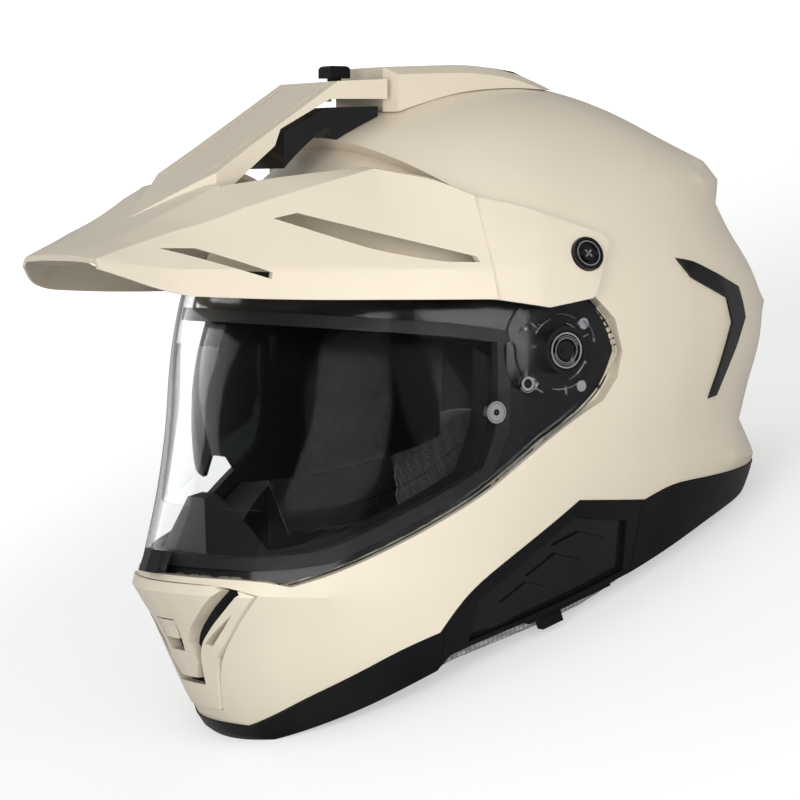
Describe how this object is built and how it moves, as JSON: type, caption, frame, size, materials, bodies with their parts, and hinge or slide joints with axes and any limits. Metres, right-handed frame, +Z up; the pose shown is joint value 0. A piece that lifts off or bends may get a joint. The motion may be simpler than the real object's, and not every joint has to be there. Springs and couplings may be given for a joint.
{
  "type": "dual sport helmet",
  "caption": "Full-face dual sport helmet with a long peak, clear hinged face shield, drop-down sun visor, vents, removable linings and a D-ring chin strap.",
  "frame": {"origin": "bottom centre of the bounding box, on the surface that the rim stands on", "axes": "+X to the wearer's left, +Y to the wearer's rear, +Z up, with the rim flat on the surface"},
  "size_m": [0.257, 0.3596, 0.2716],
  "materials": {
    "shell_paint": "satin pearl sand paint",
    "trim_black": "satin black moulded plastic",
    "gloss_black": "gloss black moulded plastic",
    "clear_shield": "clear polycarbonate",
    "smoke_visor": "smoked polycarbonate",
    "steel": "plated steel",
    "foam": "dark expanded foam",
    "lining": "black knit lining",
    "piping_grey": "grey textured piping",
    "rubber_black": "soft black rubber"
  },
  "bodies": {
    "shell": {"base_screws": "steel", "breath_deflector": "rubber_black", "cheek_pad_left": "lining", "cheek_pad_right": "lining", "chin_bar_liner": "foam", "chin_curtain": "lining", "chin_strap_left": "lining", "chin_strap_right": "lining", "chin_strap_rivets": "steel", "chin_vent_frame": "shell_paint", "chin_vent_mesh": "trim_black", "chin_vent_panel": "shell_paint", "crown_exhaust_left": "gloss_black", "crown_exhaust_right": "gloss_black", "crown_fairing": "shell_paint", "crown_pad": "lining", "crown_vent_intake": "gloss_black", "eyeport_frame": "gloss_black", "eyeport_gasket": "rubber_black", "front_lower_trim": "trim_black", "impact_liner": "foam", "intercom_cover_left": "gloss_black", "intercom_cover_right": "gloss_black", "neck_piping": "piping_grey", "neck_roll": "lining", "outer_shell": "shell_paint", "peak": "shell_paint", "pivot_base_left": "gloss_black", "pivot_base_right": "gloss_black", "pivot_cap_left": "clear_shield", "pivot_cap_right": "clear_shield", "rear_exhaust": "gloss_black", "rear_lower_trim": "trim_black", "side_exhaust_left": "gloss_black", "side_exhaust_right": "gloss_black", "side_trim_left": "trim_black", "side_trim_right": "trim_black", "strap_snap": "steel", "sun_visor_pivots": "steel", "sun_visor_track": "trim_black"},
    "shield": {"face_shield": "clear_shield", "shield_guide_pins": "clear_shield", "anti_fog_pins": "steel", "anti_fog_lens": "clear_shield", "shield_tab": "gloss_black"},
    "sun_visor": {"sun_visor": "smoke_visor"},
    "sun_visor_lever": {"sun_visor_lever": "trim_black"},
    "crown_vent_slider": {"crown_vent_slider": "trim_black"},
    "chin_vent_slider": {"chin_vent_slider": "shell_paint"},
    "peak_screw_left": {"peak_screw_left": "gloss_black"},
    "peak_screw_right": {"peak_screw_right": "gloss_black"},
    "d_ring_upper": {"d_ring_upper": "steel"},
    "d_ring_lower": {"d_ring_lower": "steel"}
  },
  "joints": [
    {"name": "shield_hinge", "type": "hinge", "parent": "shell", "child": "shield", "pos_m": [0, 0.0075, 0.12621], "axis": [-1, 0, 0], "range_deg": [0, 38]},
    {"name": "sun_visor_hinge", "type": "hinge", "parent": "shell", "child": "sun_visor", "pos_m": [0, 0.03133, 0.07401], "axis": [-1, 0, 0], "range_deg": [0, 30]},
    {"name": "sun_visor_lever_slide", "type": "slide", "parent": "shell", "child": "sun_visor_lever", "axis": [0, 0.9969, -0.0785], "range_m": [0, 0.024]},
    {"name": "crown_vent_slide", "type": "slide", "parent": "shell", "child": "crown_vent_slider", "axis": [0, 0.9135, -0.4067], "range_m": [0, 0.008]},
    {"name": "chin_vent_slide", "type": "slide", "parent": "shell", "child": "chin_vent_slider", "axis": [0, 0.0268, -0.9996], "range_m": [0, 0.006]},
    {"name": "peak_screw_left_turn", "type": "hinge", "parent": "shell", "child": "peak_screw_left", "pos_m": [0.1192, 0.03778, 0.1598], "axis": [0.9455, 0.1324, 0.2974], "range_deg": [0, 90]},
    {"name": "peak_screw_right_turn", "type": "hinge", "parent": "shell", "child": "peak_screw_right", "pos_m": [-0.1192, 0.03778, 0.1598], "axis": [-0.9455, 0.1324, 0.2974], "range_deg": [-90, 0]},
    {"name": "d_ring_upper_hinge", "type": "hinge", "parent": "shell", "child": "d_ring_upper", "pos_m": [0.034, -0.0275, 0.0181], "axis": [0, 0.9135, -0.4067], "range_deg": [0, 25]},
    {"name": "d_ring_lower_hinge", "type": "hinge", "parent": "shell", "child": "d_ring_lower", "pos_m": [0.034, -0.02937, 0.0139], "axis": [0, 0.9135, -0.4067], "range_deg": [-20, 0]}
  ],
  "couplings": [
    {"joint": "sun_visor_lever_slide", "follows": "sun_visor_hinge", "m_per_rad": 0.045837}
  ]
}
